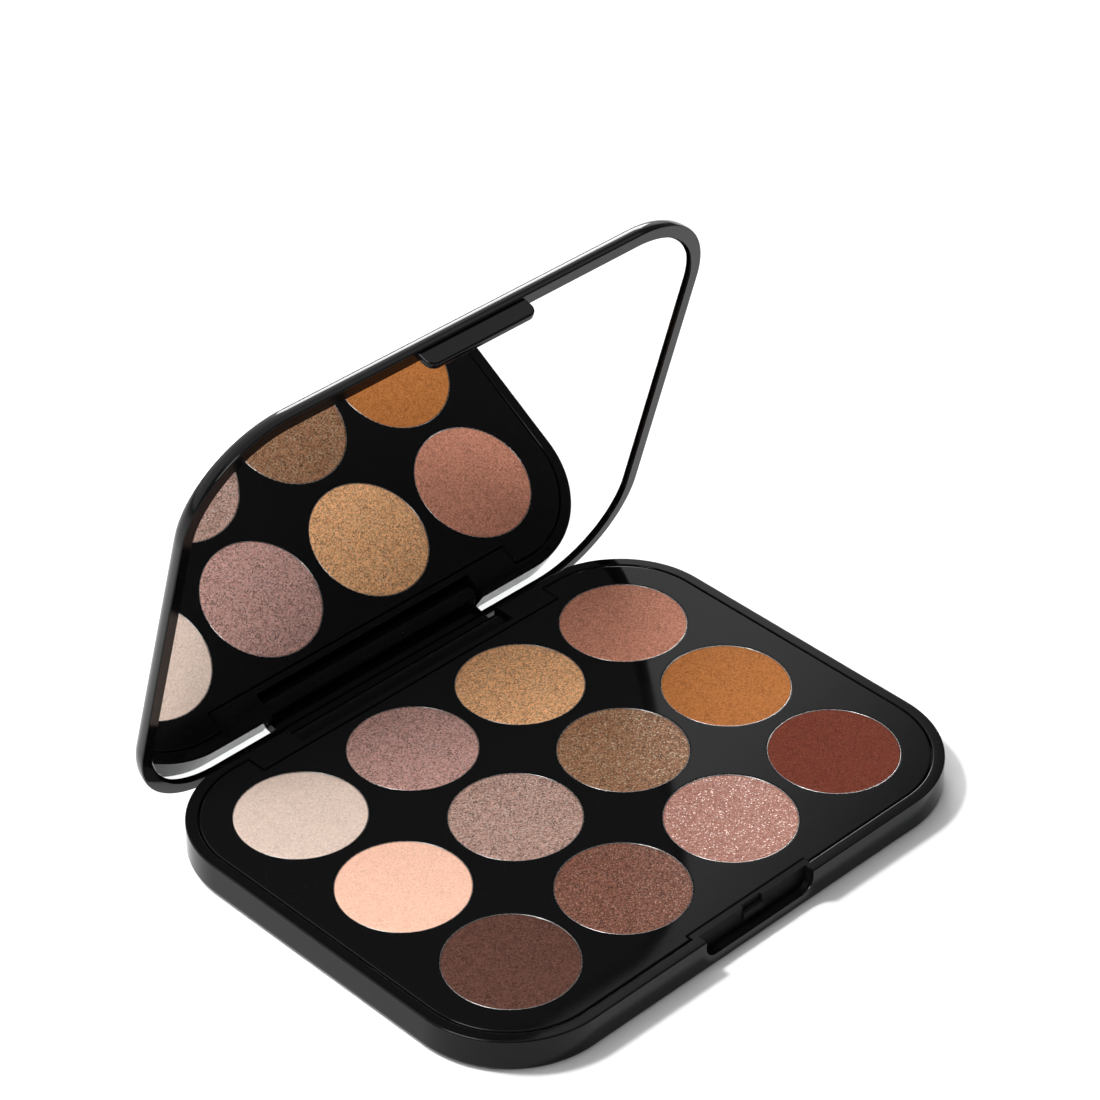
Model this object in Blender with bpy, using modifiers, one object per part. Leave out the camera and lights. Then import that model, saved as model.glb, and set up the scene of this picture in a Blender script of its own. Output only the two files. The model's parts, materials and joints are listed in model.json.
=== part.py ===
"""Twelve-pan eyeshadow palette: a black moulded tray with a mirrored lid on a rear hinge.

Frame: metres, +Z up.  The origin is the centre of the tray's flat underside, +X runs along the
hinge and +Y points from the latch at the front to the hinge at the back.  The lid is built closed,
about its hinge axis, and its empty then opens it to LID_OPEN_DEG.
"""

import math

import bpy
import bmesh
from mathutils import Matrix

# Overall outline, shared by the tray and the lid
WIDTH = 0.1283
DEPTH = 0.1000
CORNER_RADIUS = 0.0214
CORNER_STEPS = 12
GAP = 0.0003

# Tray
TRAY_HEIGHT = 0.0072
TRAY_FLOOR = 0.0015
TRAY_FOOT_ROUND = 0.0012
TRAY_TOP_ROUND = 0.0004
RIM_WIDTH = 0.0024
LEDGE_WIDTH = 0.0013

# Deck panel that frames the pans
DECK_THICKNESS = 0.0015
DECK_HOLE_RADIUS = 0.01312
DECK_HOLE_STEPS = 36

# Pans and powder
PAN_PITCH = 0.0285
PAN_COLUMNS = 4
PAN_ROWS = 3
PAN_GRID_Y = -0.00034
PAN_RADIUS = 0.01282
PAN_WALL = 0.00028
PAN_HEIGHT = 0.0050
PAN_STEPS = 36
POWDER_TOP_DROP = 0.00015
POWDER_SIDE_GAP = 0.00018
POWDER_EDGE = 0.0004

# Latch at the middle of the front wall
LATCH_HALF_WIDTH = 0.01415
LATCH_BACK_Y = -0.04785
LATCH_LIP_Z = 0.0029
LATCH_FLOOR_Z = 0.0025
LATCH_LIP_THICKNESS = 0.00075
LATCH_CORNER = 0.0027
LATCH_BLOCK_HALF = 0.01535
LATCH_BLOCK_Y = -0.04648
CATCH_HALF_WIDTH = 0.0026
CATCH_REACH = 0.00045
CATCH_LOW_Z = 0.0044
CATCH_HIGH_Z = 0.0058
SLOT_DEPTH = 0.0006

# Hinge
PIVOT_Y = 0.0477
PIVOT_Z = 0.0034
BARREL_RADIUS = 0.0029
BARREL_STEPS = 28
LID_BARREL_HALF = 0.0274
KNUCKLE_IN = 0.0280
# A thin sill at the foot of the hinge notch, in front of and below the barrel
SILL_BACK_Y = 0.0461
SILL_LOW_Z = 0.0001
SILL_HIGH_Z = 0.0005
HOUSING_HALF = 0.03885
HINGE_WALL_Y = 0.0431
HINGE_NOTCH_Y = 0.0444
REAR_RELIEF_RADIUS = 0.0040
PIN_RADIUS = 0.00075
PIN_CLEARANCE = 0.00006
PIN_IN = 0.0203
PIN_OUT = 0.0357
PIN_STEPS = 20
NECK_FRONT_Y = 0.0479

# Lid, measured as it lies closed on the tray
LID_OPEN_DEG = 74.0
LID_OVERHANG = 0.0005
LID_LOW_Z = TRAY_HEIGHT + GAP
LID_THICKNESS = 0.0035
LID_BACK_ROUND = 0.0020
LID_LIP_ROUND = 0.0003
MIRROR_HALF_WIDTH = 0.0618
MIRROR_FRONT_Y = -0.0472
MIRROR_BACK_Y = 0.0476
MIRROR_CORNER = 0.0191
MIRROR_GAP = 0.0004
MIRROR_RECESS = 0.00072
MIRROR_THICKNESS = 0.0010
ADHESIVE_THICKNESS = 0.0002
ADHESIVE_GAP = 0.0002
ADHESIVE_INSET = 0.0040
TAB_HALF_WIDTH = 0.0132
TAB_OUTER_Y = -0.04980
TAB_INNER_Y = -0.04840
TAB_LENGTH = 0.0038
TAB_CORNER = 0.0020

# Blank label in the underside
LABEL_Y = 0.0220
LABEL_WIDTH = 0.0620
LABEL_DEPTH = 0.0260
LABEL_CORNER = 0.0020
LABEL_LOW_Z = 0.0001
LABEL_THICKNESS = 0.0002
LABEL_RECESS = 0.0006

# Powder colours, back row first and left to right
POWDERS = (
    ("beige", (0.62, 0.49, 0.41)),
    ("mauve", (0.30, 0.19, 0.19)),
    ("gold", (0.46, 0.29, 0.15)),
    ("dusty_pink", (0.32, 0.15, 0.11)),
    ("peach", (0.86, 0.53, 0.37)),
    ("taupe", (0.36, 0.24, 0.20)),
    ("bronze", (0.25, 0.16, 0.08)),
    ("mustard", (0.39, 0.18, 0.04)),
    ("dark_brown", (0.075, 0.035, 0.025)),
    ("red_brown", (0.15, 0.065, 0.045)),
    ("rose", (0.38, 0.20, 0.17)),
    ("brick", (0.13, 0.025, 0.015)),
)


def clear_scene():
    for old in list(bpy.data.objects):
        bpy.data.objects.remove(old, do_unlink=True)


def new_collection(name, hidden=False):
    collection = bpy.data.collections.new(name)
    collection.hide_render = hidden
    bpy.context.scene.collection.children.link(collection)
    return collection


def new_material(name, colour, roughness, metallic=0.0):
    material = bpy.data.materials.new(name)
    material.use_nodes = True
    material.diffuse_color = (*colour, 1.0)
    shader = material.node_tree.nodes["Principled BSDF"]
    shader.inputs["Base Color"].default_value = (*colour, 1.0)
    shader.inputs["Roughness"].default_value = roughness
    shader.inputs["Metallic"].default_value = metallic
    return material


def new_object(name, bm, collection, material=None):
    """An object from a bmesh, shaded smooth with its real edges kept sharp."""
    bmesh.ops.recalc_face_normals(bm, faces=bm.faces)
    mesh = bpy.data.meshes.new(name)
    bm.to_mesh(mesh)
    bm.free()
    mesh.shade_smooth()
    mesh.set_sharp_from_angle(angle=math.radians(35))
    if material:
        mesh.materials.append(material)
    obj = bpy.data.objects.new(name, mesh)
    collection.objects.link(obj)
    if collection.hide_render:
        obj.hide_render = True
        obj.display_type = "WIRE"
    return obj


def block(low, high):
    """A box between two opposite corners."""
    bm = bmesh.new()
    bmesh.ops.create_cube(bm, size=1.0)
    size = [b - a for a, b in zip(low, high)]
    middle = [(a + b) / 2 for a, b in zip(low, high)]
    bmesh.ops.scale(bm, vec=size, verts=bm.verts)
    bmesh.ops.translate(bm, vec=middle, verts=bm.verts)
    return bm


def round_edges(bm, edges, radius, steps):
    bmesh.ops.bevel(
        bm,
        geom=edges,
        offset=radius,
        offset_type="OFFSET",
        segments=steps,
        profile=0.5,
        affect="EDGES",
    )


def edges_along(bm, axis):
    """The edges that run along one axis of a plain box."""
    found = []
    for edge in bm.edges:
        run = edge.verts[1].co - edge.verts[0].co
        if abs(run[axis]) > 0.999 * run.length:
            found.append(edge)
    return found


def edges_at_height(bm, z):
    found = []
    for edge in bm.edges:
        if all(abs(vert.co.z - z) < 1e-6 for vert in edge.verts):
            found.append(edge)
    return found


def rounded_slab(low, high, corner, steps=CORNER_STEPS):
    """A slab whose four upright edges are rounded."""
    bm = block(low, high)
    round_edges(bm, edges_along(bm, 2), corner, steps)
    return bm


def rod_along_x(x_low, x_high, y, z, radius, steps):
    bm = bmesh.new()
    turn = Matrix.Rotation(math.radians(90), 4, "Y")
    place = Matrix.Translation(((x_low + x_high) / 2, y, z))
    bmesh.ops.create_cone(
        bm,
        cap_ends=True,
        segments=steps,
        radius1=radius,
        radius2=radius,
        depth=x_high - x_low,
        matrix=place @ turn,
    )
    return bm


def prism_along_x(outline, x_low, x_high):
    """A solid from a convex or hollow-sided (y, z) outline, carried along X."""
    bm = bmesh.new()
    near = [bm.verts.new((x_low, y, z)) for y, z in outline]
    far = [bm.verts.new((x_high, y, z)) for y, z in outline]
    bm.faces.new(near)
    bm.faces.new(far)
    for index in range(len(outline)):
        after = (index + 1) % len(outline)
        bm.faces.new((near[index], near[after], far[after], far[index]))
    bmesh.ops.recalc_face_normals(bm, faces=bm.faces)
    return bm


def rear_relief():
    """What the lid sweeps at the tray's top rear edge: everything past an arc about the hinge axis."""
    rear = DEPTH / 2 + 0.0005
    above = TRAY_HEIGHT + 0.001
    last = math.asin((rear - PIVOT_Y) / REAR_RELIEF_RADIUS)
    outline = []
    for step in range(9):
        angle = last * step / 8
        outline.append(
            (
                PIVOT_Y + REAR_RELIEF_RADIUS * math.sin(angle),
                PIVOT_Z + REAR_RELIEF_RADIUS * math.cos(angle),
            )
        )
    outline += [(rear, above), (PIVOT_Y, above)]
    return prism_along_x(outline, -WIDTH / 2 - 0.001, WIDTH / 2 + 0.001)


def boolean(target, other, operation):
    modifier = target.modifiers.new(other.name, "BOOLEAN")
    modifier.object = other
    modifier.operation = operation
    modifier.solver = "EXACT"


def pan_places():
    """The centre of each pan, back row first and left to right."""
    places = []
    for row in range(PAN_ROWS):
        for column in range(PAN_COLUMNS):
            x = (column - (PAN_COLUMNS - 1) / 2) * PAN_PITCH
            y = PAN_GRID_Y + ((PAN_ROWS - 1) / 2 - row) * PAN_PITCH
            places.append((x, y))
    return places


def latch_opening(name, low_z, front_y, corner, collection):
    """A cutter for the latch recess: open to the top and front, with two rounded lower corners."""
    low = (-LATCH_HALF_WIDTH, front_y, low_z)
    high = (LATCH_HALF_WIDTH, LATCH_BACK_Y, TRAY_HEIGHT + 0.002)
    bm = block(low, high)
    lower = [e for e in edges_along(bm, 1) if e.verts[0].co.z < TRAY_HEIGHT]
    round_edges(bm, lower, corner, 5)
    return new_object(name, bm, collection)


def make_tray(parts, cutters, material):
    half_w = WIDTH / 2
    half_d = DEPTH / 2
    outer = rounded_slab(
        (-half_w, -half_d, 0.0), (half_w, half_d, TRAY_HEIGHT), CORNER_RADIUS
    )
    round_edges(outer, edges_at_height(outer, 0.0), TRAY_FOOT_ROUND, 4)
    round_edges(outer, edges_at_height(outer, TRAY_HEIGHT), TRAY_TOP_ROUND, 2)
    tray = new_object("base_shell", outer, parts, material)

    # The deck's seat, and the deeper well under it that leaves a ledge all round
    deck_low = TRAY_HEIGHT - DECK_THICKNESS
    for name, inset, low_z in (
        ("cut_deck_seat", RIM_WIDTH, deck_low - GAP),
        ("cut_well", RIM_WIDTH + LEDGE_WIDTH, TRAY_FLOOR),
    ):
        slab = rounded_slab(
            (inset - half_w, inset - half_d, low_z),
            (half_w - inset, half_d - inset, TRAY_HEIGHT + 0.002),
            CORNER_RADIUS - inset,
        )
        boolean(tray, new_object(name, slab, cutters), "DIFFERENCE")

    # Thick wall behind the latch recess, then the recess with its lip, slot and catch
    wall = block(
        (-LATCH_BLOCK_HALF, -half_d + 0.0011, TRAY_FLOOR - 0.0003),
        (LATCH_BLOCK_HALF, LATCH_BLOCK_Y, TRAY_HEIGHT),
    )
    boolean(tray, new_object("add_latch_wall", wall, cutters), "UNION")
    opening = latch_opening(
        "cut_latch_mouth", LATCH_LIP_Z, -half_d - 0.002, LATCH_CORNER, cutters
    )
    boolean(tray, opening, "DIFFERENCE")
    lip_back = LATCH_LIP_THICKNESS - half_d
    pocket = latch_opening(
        "cut_latch_pocket", LATCH_FLOOR_Z, lip_back, TAB_CORNER, cutters
    )
    boolean(tray, pocket, "DIFFERENCE")
    slot = block(
        (-CATCH_HALF_WIDTH, LATCH_BACK_Y - 0.001, CATCH_HIGH_Z),
        (CATCH_HALF_WIDTH, LATCH_BACK_Y + SLOT_DEPTH, TRAY_HEIGHT + 0.002),
    )
    boolean(tray, new_object("cut_catch_slot", slot, cutters), "DIFFERENCE")
    catch = block(
        (-CATCH_HALF_WIDTH, LATCH_BACK_Y - CATCH_REACH, CATCH_LOW_Z),
        (CATCH_HALF_WIDTH, LATCH_BACK_Y + 0.0003, CATCH_HIGH_Z),
    )
    boolean(tray, new_object("add_catch", catch, cutters), "UNION")

    # Hinge housing: a solid block with a pin seat each side, notched between for the lid's barrel
    housing = block(
        (-HOUSING_HALF, HINGE_WALL_Y, TRAY_FLOOR - 0.0003),
        (HOUSING_HALF, half_d - 0.0011, TRAY_HEIGHT),
    )
    boolean(tray, new_object("add_hinge_housing", housing, cutters), "UNION")
    notch = block(
        (-KNUCKLE_IN, HINGE_NOTCH_Y, -0.001),
        (KNUCKLE_IN, half_d + 0.004, TRAY_HEIGHT + 0.002),
    )
    boolean(tray, new_object("cut_hinge_notch", notch, cutters), "DIFFERENCE")
    sill = block(
        (-KNUCKLE_IN - 0.0006, HINGE_NOTCH_Y - 0.0006, SILL_LOW_Z),
        (KNUCKLE_IN + 0.0006, SILL_BACK_Y, SILL_HIGH_Z),
    )
    boolean(tray, new_object("add_notch_sill", sill, cutters), "UNION")
    relief = new_object("cut_rear_relief", rear_relief(), cutters)
    boolean(tray, relief, "DIFFERENCE")
    for side, sign in (("left", -1), ("right", 1)):
        x_low, x_high = sorted((sign * (KNUCKLE_IN - 0.001), sign * (PIN_OUT + GAP)))
        bore = rod_along_x(
            x_low, x_high, PIVOT_Y, PIVOT_Z, PIN_RADIUS + PIN_CLEARANCE, PIN_STEPS
        )
        boolean(
            tray, new_object("cut_pin_seat_" + side, bore, cutters), "DIFFERENCE"
        )

    recess = rounded_slab(
        (-LABEL_WIDTH / 2 - GAP, LABEL_Y - LABEL_DEPTH / 2 - GAP, -0.001),
        (LABEL_WIDTH / 2 + GAP, LABEL_Y + LABEL_DEPTH / 2 + GAP, LABEL_RECESS),
        LABEL_CORNER + GAP,
        4,
    )
    boolean(tray, new_object("cut_label_recess", recess, cutters), "DIFFERENCE")
    return tray


def make_label(parts, material):
    slab = rounded_slab(
        (-LABEL_WIDTH / 2, LABEL_Y - LABEL_DEPTH / 2, LABEL_LOW_Z),
        (LABEL_WIDTH / 2, LABEL_Y + LABEL_DEPTH / 2, LABEL_LOW_Z + LABEL_THICKNESS),
        LABEL_CORNER,
        4,
    )
    return new_object("underside_label", slab, parts, material)


def make_deck(parts, cutters, material):
    inset = RIM_WIDTH + GAP
    half_w = WIDTH / 2 - inset
    half_d = DEPTH / 2 - inset
    low_z = TRAY_HEIGHT - DECK_THICKNESS
    slab = rounded_slab(
        (-half_w, -half_d, low_z), (half_w, half_d, TRAY_HEIGHT), CORNER_RADIUS - inset
    )
    deck = new_object("deck_panel", slab, parts, material)
    step = block(
        (-LATCH_BLOCK_HALF - GAP, -DEPTH / 2, low_z - 0.001),
        (LATCH_BLOCK_HALF + GAP, LATCH_BLOCK_Y + GAP, TRAY_HEIGHT + 0.001),
    )
    boolean(deck, new_object("cut_deck_front_step", step, cutters), "DIFFERENCE")
    notch = block(
        (-HOUSING_HALF - GAP, HINGE_WALL_Y - GAP, low_z - 0.001),
        (HOUSING_HALF + GAP, DEPTH / 2, TRAY_HEIGHT + 0.001),
    )
    boolean(deck, new_object("cut_deck_rear_notch", notch, cutters), "DIFFERENCE")
    for number, (x, y) in enumerate(pan_places(), start=1):
        bm = bmesh.new()
        bmesh.ops.create_cone(
            bm,
            cap_ends=True,
            segments=DECK_HOLE_STEPS,
            radius1=DECK_HOLE_RADIUS,
            radius2=DECK_HOLE_RADIUS,
            depth=DECK_THICKNESS + 0.002,
            matrix=Matrix.Translation((x, y, low_z + DECK_THICKNESS / 2)),
        )
        hole = new_object("cut_deck_hole_%02d" % number, bm, cutters)
        boolean(deck, hole, "DIFFERENCE")
    return deck


def turned(name, profile, steps, collection, material):
    """A solid of revolution about Z from a profile of (radius, height), outer side top to bottom."""
    mesh = bpy.data.meshes.new(name)
    bm = bmesh.new()
    verts = [bm.verts.new((radius, 0.0, height)) for radius, height in profile]
    for first, second in zip(verts, verts[1:]):
        bm.edges.new((first, second))
    bm.to_mesh(mesh)
    bm.free()
    mesh.materials.append(material)
    obj = bpy.data.objects.new(name, mesh)
    collection.objects.link(obj)
    screw = obj.modifiers.new("turn", "SCREW")
    screw.axis = "Z"
    screw.steps = steps
    screw.render_steps = steps
    screw.use_merge_vertices = True
    screw.merge_threshold = 0.00001
    screw.use_smooth_shade = True
    return obj


def make_pans(parts, metal, powders):
    """The twelve metal pans, and the pressed powder that fills each one."""
    top = TRAY_HEIGHT - 0.0001
    low = top - PAN_HEIGHT
    inner = PAN_RADIUS - PAN_WALL
    floor = low + PAN_WALL
    cup = (
        (0.0, floor),
        (inner, floor),
        (inner, top),
        (PAN_RADIUS, top),
        (PAN_RADIUS, low),
        (0.0, low),
    )
    cake_radius = inner - POWDER_SIDE_GAP
    cake_top = top - POWDER_TOP_DROP
    cake = (
        (0.0, cake_top),
        (cake_radius - POWDER_EDGE, cake_top),
        (cake_radius, cake_top - POWDER_EDGE / 2),
        (cake_radius, floor + GAP),
        (0.0, floor + GAP),
    )
    for number, (x, y) in enumerate(pan_places(), start=1):
        pan = turned("pan_%02d" % number, cup, PAN_STEPS, parts, metal)
        pan.location = (x, y, 0.0)
        shade = POWDERS[number - 1][0]
        powder = turned(
            "powder_%02d_%s" % (number, shade), cake, PAN_STEPS, parts, powders[shade]
        )
        powder.location = (x, y, 0.0)


def make_pins(parts, material):
    for side, sign in (("left", -1), ("right", 1)):
        x_low, x_high = sorted((sign * PIN_IN, sign * PIN_OUT))
        pin = rod_along_x(x_low, x_high, PIVOT_Y, PIVOT_Z, PIN_RADIUS, PIN_STEPS)
        new_object("hinge_pin_" + side, pin, parts, material)


def hang_on(empty, obj):
    """Moves an object's origin onto the hinge axis and parents it there, so the empty opens it."""
    obj.data.transform(Matrix.Translation((0.0, -PIVOT_Y, -PIVOT_Z)))
    obj.parent = empty


def make_lid(parts, cutters, plastic, glass, adhesive):
    axis = bpy.data.objects.new("lid_hinge_axis", None)
    axis.empty_display_size = 0.02
    axis.location = (0.0, PIVOT_Y, PIVOT_Z)
    parts.objects.link(axis)

    half_w = WIDTH / 2 + LID_OVERHANG
    half_d = DEPTH / 2 + LID_OVERHANG
    top = LID_LOW_Z + LID_THICKNESS
    slab = rounded_slab(
        (-half_w, -half_d, LID_LOW_Z), (half_w, half_d, top), CORNER_RADIUS + LID_OVERHANG
    )
    round_edges(slab, edges_at_height(slab, top), LID_BACK_ROUND, 5)
    round_edges(slab, edges_at_height(slab, LID_LOW_Z), LID_LIP_ROUND, 1)
    lid = new_object("lid_shell", slab, parts, plastic)
    hang_on(axis, lid)

    pocket_top = LID_LOW_Z + MIRROR_RECESS + MIRROR_THICKNESS
    pocket_top += ADHESIVE_THICKNESS + 2 * ADHESIVE_GAP
    pocket = rounded_slab(
        (-MIRROR_HALF_WIDTH - MIRROR_GAP, MIRROR_FRONT_Y - MIRROR_GAP, LID_LOW_Z - 0.002),
        (MIRROR_HALF_WIDTH + MIRROR_GAP, MIRROR_BACK_Y + MIRROR_GAP, pocket_top),
        MIRROR_CORNER + MIRROR_GAP,
    )
    barrel = rod_along_x(
        -LID_BARREL_HALF, LID_BARREL_HALF, PIVOT_Y, PIVOT_Z, BARREL_RADIUS, BARREL_STEPS
    )
    neck = block(
        (-LID_BARREL_HALF, NECK_FRONT_Y, PIVOT_Z),
        (LID_BARREL_HALF, half_d - GAP, LID_LOW_Z + 0.0008),
    )
    tab = block(
        (-TAB_HALF_WIDTH, TAB_OUTER_Y, LID_LOW_Z - TAB_LENGTH),
        (TAB_HALF_WIDTH, TAB_INNER_Y, LID_LOW_Z + 0.0008),
    )
    lower = [e for e in edges_along(tab, 1) if e.verts[0].co.z < LID_LOW_Z]
    round_edges(tab, lower, TAB_CORNER, 5)
    tools = [
        ("cut_mirror_pocket", pocket, "DIFFERENCE"),
        ("add_lid_barrel", barrel, "UNION"),
        ("add_lid_neck", neck, "UNION"),
        ("add_latch_tab", tab, "UNION"),
    ]
    for side, sign in (("left", -1), ("right", 1)):
        x_low, x_high = sorted((sign * (PIN_IN - GAP), sign * (LID_BARREL_HALF + 0.001)))
        bore = rod_along_x(
            x_low, x_high, PIVOT_Y, PIVOT_Z, PIN_RADIUS + PIN_CLEARANCE, PIN_STEPS
        )
        tools.append(("cut_pin_bore_" + side, bore, "DIFFERENCE"))
    for name, bm, operation in tools:
        tool = new_object(name, bm, cutters)
        hang_on(axis, tool)
        boolean(lid, tool, operation)

    glass_low = LID_LOW_Z + MIRROR_RECESS
    pane = rounded_slab(
        (-MIRROR_HALF_WIDTH, MIRROR_FRONT_Y, glass_low),
        (MIRROR_HALF_WIDTH, MIRROR_BACK_Y, glass_low + MIRROR_THICKNESS),
        MIRROR_CORNER,
    )
    hang_on(axis, new_object("mirror_glass", pane, parts, glass))
    pad_low = glass_low + MIRROR_THICKNESS + ADHESIVE_GAP
    pad = rounded_slab(
        (
            ADHESIVE_INSET - MIRROR_HALF_WIDTH,
            MIRROR_FRONT_Y + ADHESIVE_INSET,
            pad_low,
        ),
        (
            MIRROR_HALF_WIDTH - ADHESIVE_INSET,
            MIRROR_BACK_Y - ADHESIVE_INSET,
            pad_low + ADHESIVE_THICKNESS,
        ),
        MIRROR_CORNER - ADHESIVE_INSET,
        6,
    )
    hang_on(axis, new_object("mirror_adhesive", pad, parts, adhesive))
    axis.rotation_euler = (math.radians(-LID_OPEN_DEG), 0.0, 0.0)


def main():
    clear_scene()
    parts = new_collection("eyeshadow_palette")
    cutters = new_collection("cutters", hidden=True)
    plastic = new_material("black_gloss_plastic", (0.008, 0.008, 0.009), 0.12)
    deck_plastic = new_material("deck_gloss_plastic", (0.010, 0.010, 0.011), 0.10)
    metal = new_material("pan_metal", (0.72, 0.72, 0.73), 0.28, 1.0)
    steel = new_material("pin_steel", (0.60, 0.60, 0.61), 0.30, 1.0)
    glass = new_material("mirror", (0.93, 0.94, 0.94), 0.02, 1.0)
    adhesive = new_material("adhesive_pad", (0.80, 0.80, 0.78), 0.70)
    paper = new_material("label_paper", (0.02, 0.02, 0.02), 0.60)
    powders = {}
    for shade, colour in POWDERS:
        powders[shade] = new_material("powder_" + shade, colour, 0.85)

    make_tray(parts, cutters, plastic)
    make_label(parts, paper)
    make_deck(parts, cutters, deck_plastic)
    make_pans(parts, metal, powders)
    make_pins(parts, steel)
    make_lid(parts, cutters, plastic, glass, adhesive)


main()
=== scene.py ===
"""Looks for the twelve-pan eyeshadow palette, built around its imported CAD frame.

Frame: metres, +X along the hinge, +Y from the latch to the hinge, +Z up.  The lid's pieces are
made as it lies closed on the tray, then turned to the opening that the CAD has at rest.
"""

import json
import math

import bpy
import bmesh
from mathutils import Matrix, Vector, noise


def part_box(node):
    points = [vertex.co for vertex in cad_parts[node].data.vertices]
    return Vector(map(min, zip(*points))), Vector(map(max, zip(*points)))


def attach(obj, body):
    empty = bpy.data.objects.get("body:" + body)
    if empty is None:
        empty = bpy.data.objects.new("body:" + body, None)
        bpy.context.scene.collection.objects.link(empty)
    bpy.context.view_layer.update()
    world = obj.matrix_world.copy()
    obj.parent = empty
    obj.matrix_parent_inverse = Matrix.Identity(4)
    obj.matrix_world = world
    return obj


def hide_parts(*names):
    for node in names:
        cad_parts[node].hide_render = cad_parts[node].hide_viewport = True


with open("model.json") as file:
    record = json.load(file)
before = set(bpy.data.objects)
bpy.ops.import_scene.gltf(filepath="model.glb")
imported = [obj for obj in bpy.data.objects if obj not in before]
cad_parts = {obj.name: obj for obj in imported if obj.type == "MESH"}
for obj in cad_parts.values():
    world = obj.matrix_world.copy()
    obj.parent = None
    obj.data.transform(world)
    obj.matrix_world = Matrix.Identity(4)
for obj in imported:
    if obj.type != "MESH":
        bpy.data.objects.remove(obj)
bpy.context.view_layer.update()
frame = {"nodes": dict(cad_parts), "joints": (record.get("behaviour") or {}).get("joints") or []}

# Hinge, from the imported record: the joint's lower limit is the closed lid
HINGE = frame["joints"][0]
PIVOT = Vector(HINGE["pos_m"])
OPEN_ANGLE = math.radians(-HINGE["range_deg"][0])
TO_OPEN = (
    Matrix.Translation(PIVOT)
    @ Matrix.Rotation(-OPEN_ANGLE, 4, "X")
    @ Matrix.Translation(-PIVOT)
)


def closed_box(node):
    """(lowest corner, highest corner) of a lid node as the lid lies closed."""
    to_closed = TO_OPEN.inverted()
    points = [to_closed @ vert.co for vert in frame["nodes"][node].data.vertices]
    low = Vector([min(point[axis] for point in points) for axis in range(3)])
    high = Vector([max(point[axis] for point in points) for axis in range(3)])
    return low, high


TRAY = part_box("base_shell")
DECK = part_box("deck_panel")
LID = closed_box("lid_shell")
MIRROR = closed_box("mirror_glass")
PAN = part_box("pan_01")
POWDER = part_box("powder_01_beige")
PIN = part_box("hinge_pin_right")

# Outline shared by the tray and the lid
HALF_WIDTH = TRAY[1].x
HALF_DEPTH = -TRAY[0].y
CORNER = 0.0214
CORNER_STEPS = 28
GAP = 0.0003

# Tray
TRAY_TOP = TRAY[1].z
TRAY_FLOOR = 0.0015
FOOT_ROUND = 0.0012
FOOT_INSET = 0.0060
RIM_OUTER_ROUND = 0.00035
RIM_INNER_ROUND = 0.00030
RIM_WIDTH = HALF_WIDTH - DECK[1].x - GAP
LEDGE_WIDTH = 0.0013
DECK_LOW = DECK[0].z
DECK_EDGE_ROUND = 0.00030
HOLE_EDGE_ROUND = 0.00010
PAN_RADIUS = (PAN[1].x - PAN[0].x) / 2
HOLE_RADIUS = PAN_RADIUS + 0.00010
HOLE_STEPS = 128
# How far the latch wall and the hinge housing stay inside the tray's outer face
BLOCK_INSET = 0.0011
LABEL_CORNER = 0.0023
LABEL_RECESS = 0.0006
# How far a cutter goes past the face that it opens
PAST = 0.001

# Pans and powder
PAN_LIP = 0.00014
PAN_STEPS = 128
CAKE_SPACE = 0.00002
CAKE_SHOULDER = 0.00020
CAKE_RINGS = 34
CAKE_STEPS = 144

# Latch
LATCH_HALF_WIDTH = 0.01415
LATCH_BACK_Y = -0.04785
LATCH_LIP_Z = 0.0029
LATCH_FLOOR_Z = 0.0025
LATCH_LIP_THICKNESS = 0.00075
LATCH_CORNER = 0.0027
LATCH_BLOCK_HALF = 0.01535
LATCH_BLOCK_Y = -0.04648
CATCH_HALF_WIDTH = 0.0026
CATCH_REACH = 0.00045
CATCH_LOW_Z = 0.0044
CATCH_HIGH_Z = 0.0058
SLOT_DEPTH = 0.0006

# Hinge
BARREL_RADIUS = LID[1].y - PIVOT.y
LID_BARREL_HALF = 0.0274
NOTCH_HALF_WIDTH = 0.0280
# A thin sill at the foot of the hinge notch, in front of and below the barrel
SILL_BACK_Y = 0.0461
SILL_LOW_Z = 0.0001
SILL_HIGH_Z = 0.0005
SILL_ROOT = 0.0006
HOUSING_HALF = 0.03885
HINGE_WALL_Y = 0.0431
HINGE_NOTCH_Y = 0.0444
REAR_RELIEF_RADIUS = 0.0040
NECK_FRONT_Y = 0.0479
PIN_BORE = (PIN[1].z - PIN[0].z) / 2 + 0.00006
PIN_IN = PIN[0].x
PIN_OUT = PIN[1].x

# Lid, as it lies closed
LID_LOW = TRAY_TOP + GAP
LID_TOP = LID[1].z
LID_HALF_WIDTH = LID[1].x
LID_HALF_DEPTH = -LID[0].y
LID_CORNER = CORNER + LID_HALF_WIDTH - HALF_WIDTH
LID_BACK_INSET = 0.0019
LID_SIDE_HEIGHT = 0.0032
# The lid is matt where its face, when shut, tilts up more steeply than this
BACK_SLOPE = 0.62
LID_LIP_ROUND = 0.00025
MIRROR_CORNER = 0.0191
MIRROR_GAP = 0.0004
PAD_SPACE = 0.0006
NECK_ROOT = 0.0008
TAB_HALF_WIDTH = 0.0132
TAB_OUTER_Y = -0.04980
TAB_INNER_Y = -0.04840
TAB_LENGTH = 0.0038
TAB_CORNER = 0.0020
TAB_FACE_ROUND = 0.0004

# Edges left by a cut
CUT_BEVEL = 0.00012
BEVEL_ANGLE = math.radians(40)
SHARP_ANGLE = math.radians(32)


# ---------------------------------------------------------------- mesh helpers


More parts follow.
